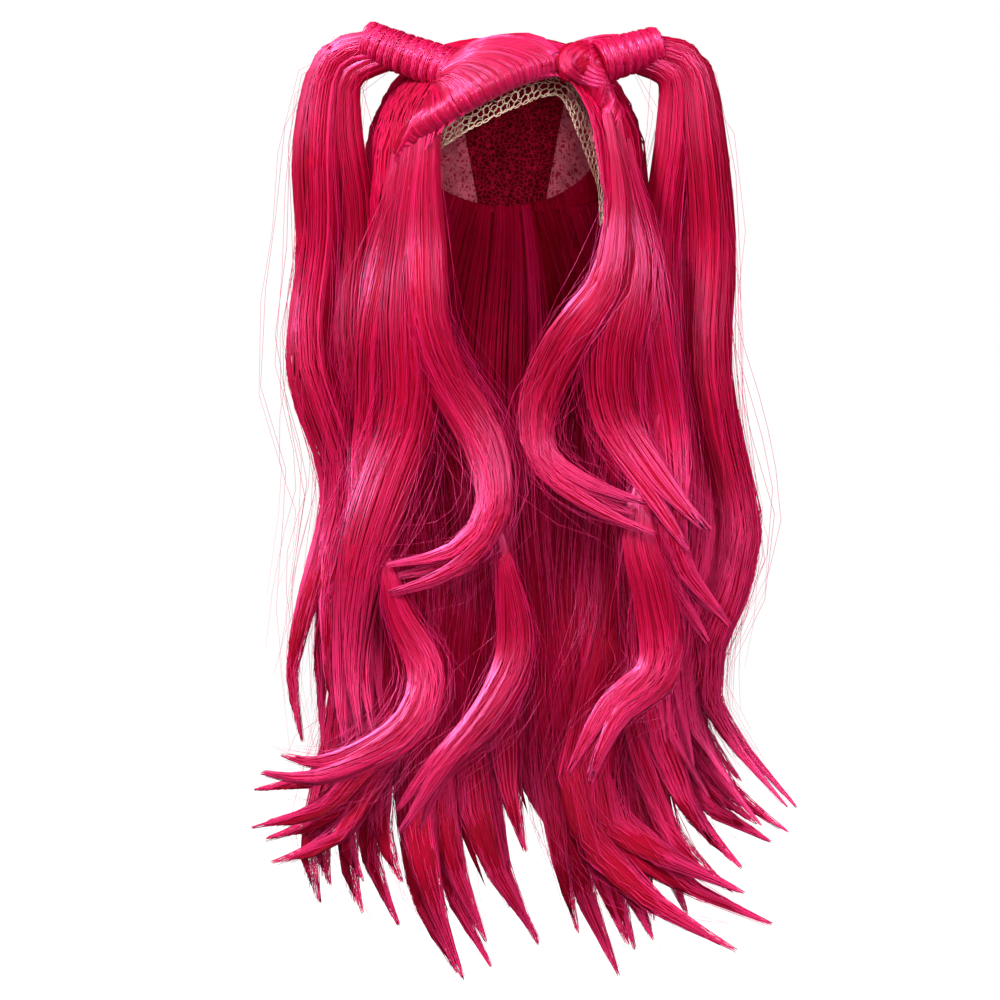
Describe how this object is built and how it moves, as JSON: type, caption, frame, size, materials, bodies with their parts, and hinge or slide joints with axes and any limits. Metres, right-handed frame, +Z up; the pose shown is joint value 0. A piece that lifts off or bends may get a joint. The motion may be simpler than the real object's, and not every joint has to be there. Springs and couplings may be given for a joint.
{
  "type": "costume wig",
  "caption": "Long bright pink costume wig with two high wrapped bunches, rolled fringe, wavy locks and an open net cap edged with lace.",
  "frame": {"origin": "inside of the cap's crown, where the top of a head sits", "axes": "+Z up, -Y to the front through the face opening, +X to the right as seen from the front"},
  "size_m": [0.4113, 0.2272, 0.7242],
  "materials": {
    "cap_net": "knitted net, matt",
    "cap_lace": "fine lace, matt",
    "front_lace": "open lace, matt",
    "hair": "glossy synthetic hair fibre"
  },
  "bodies": {
    "root": {"cap_back_panel": "cap_net", "cap_side_panel_left": "cap_lace", "cap_side_panel_right": "cap_lace", "lace_front": "front_lace", "crown_hair": "hair", "front_roll": "hair", "right_twist": "hair", "wrap_left": "hair", "wrap_right": "hair", "bunch_left": "hair", "bunch_right": "hair", "back_hair": "hair", "front_locks_left": "hair", "front_locks_right": "hair"}
  },
  "joints": []
}
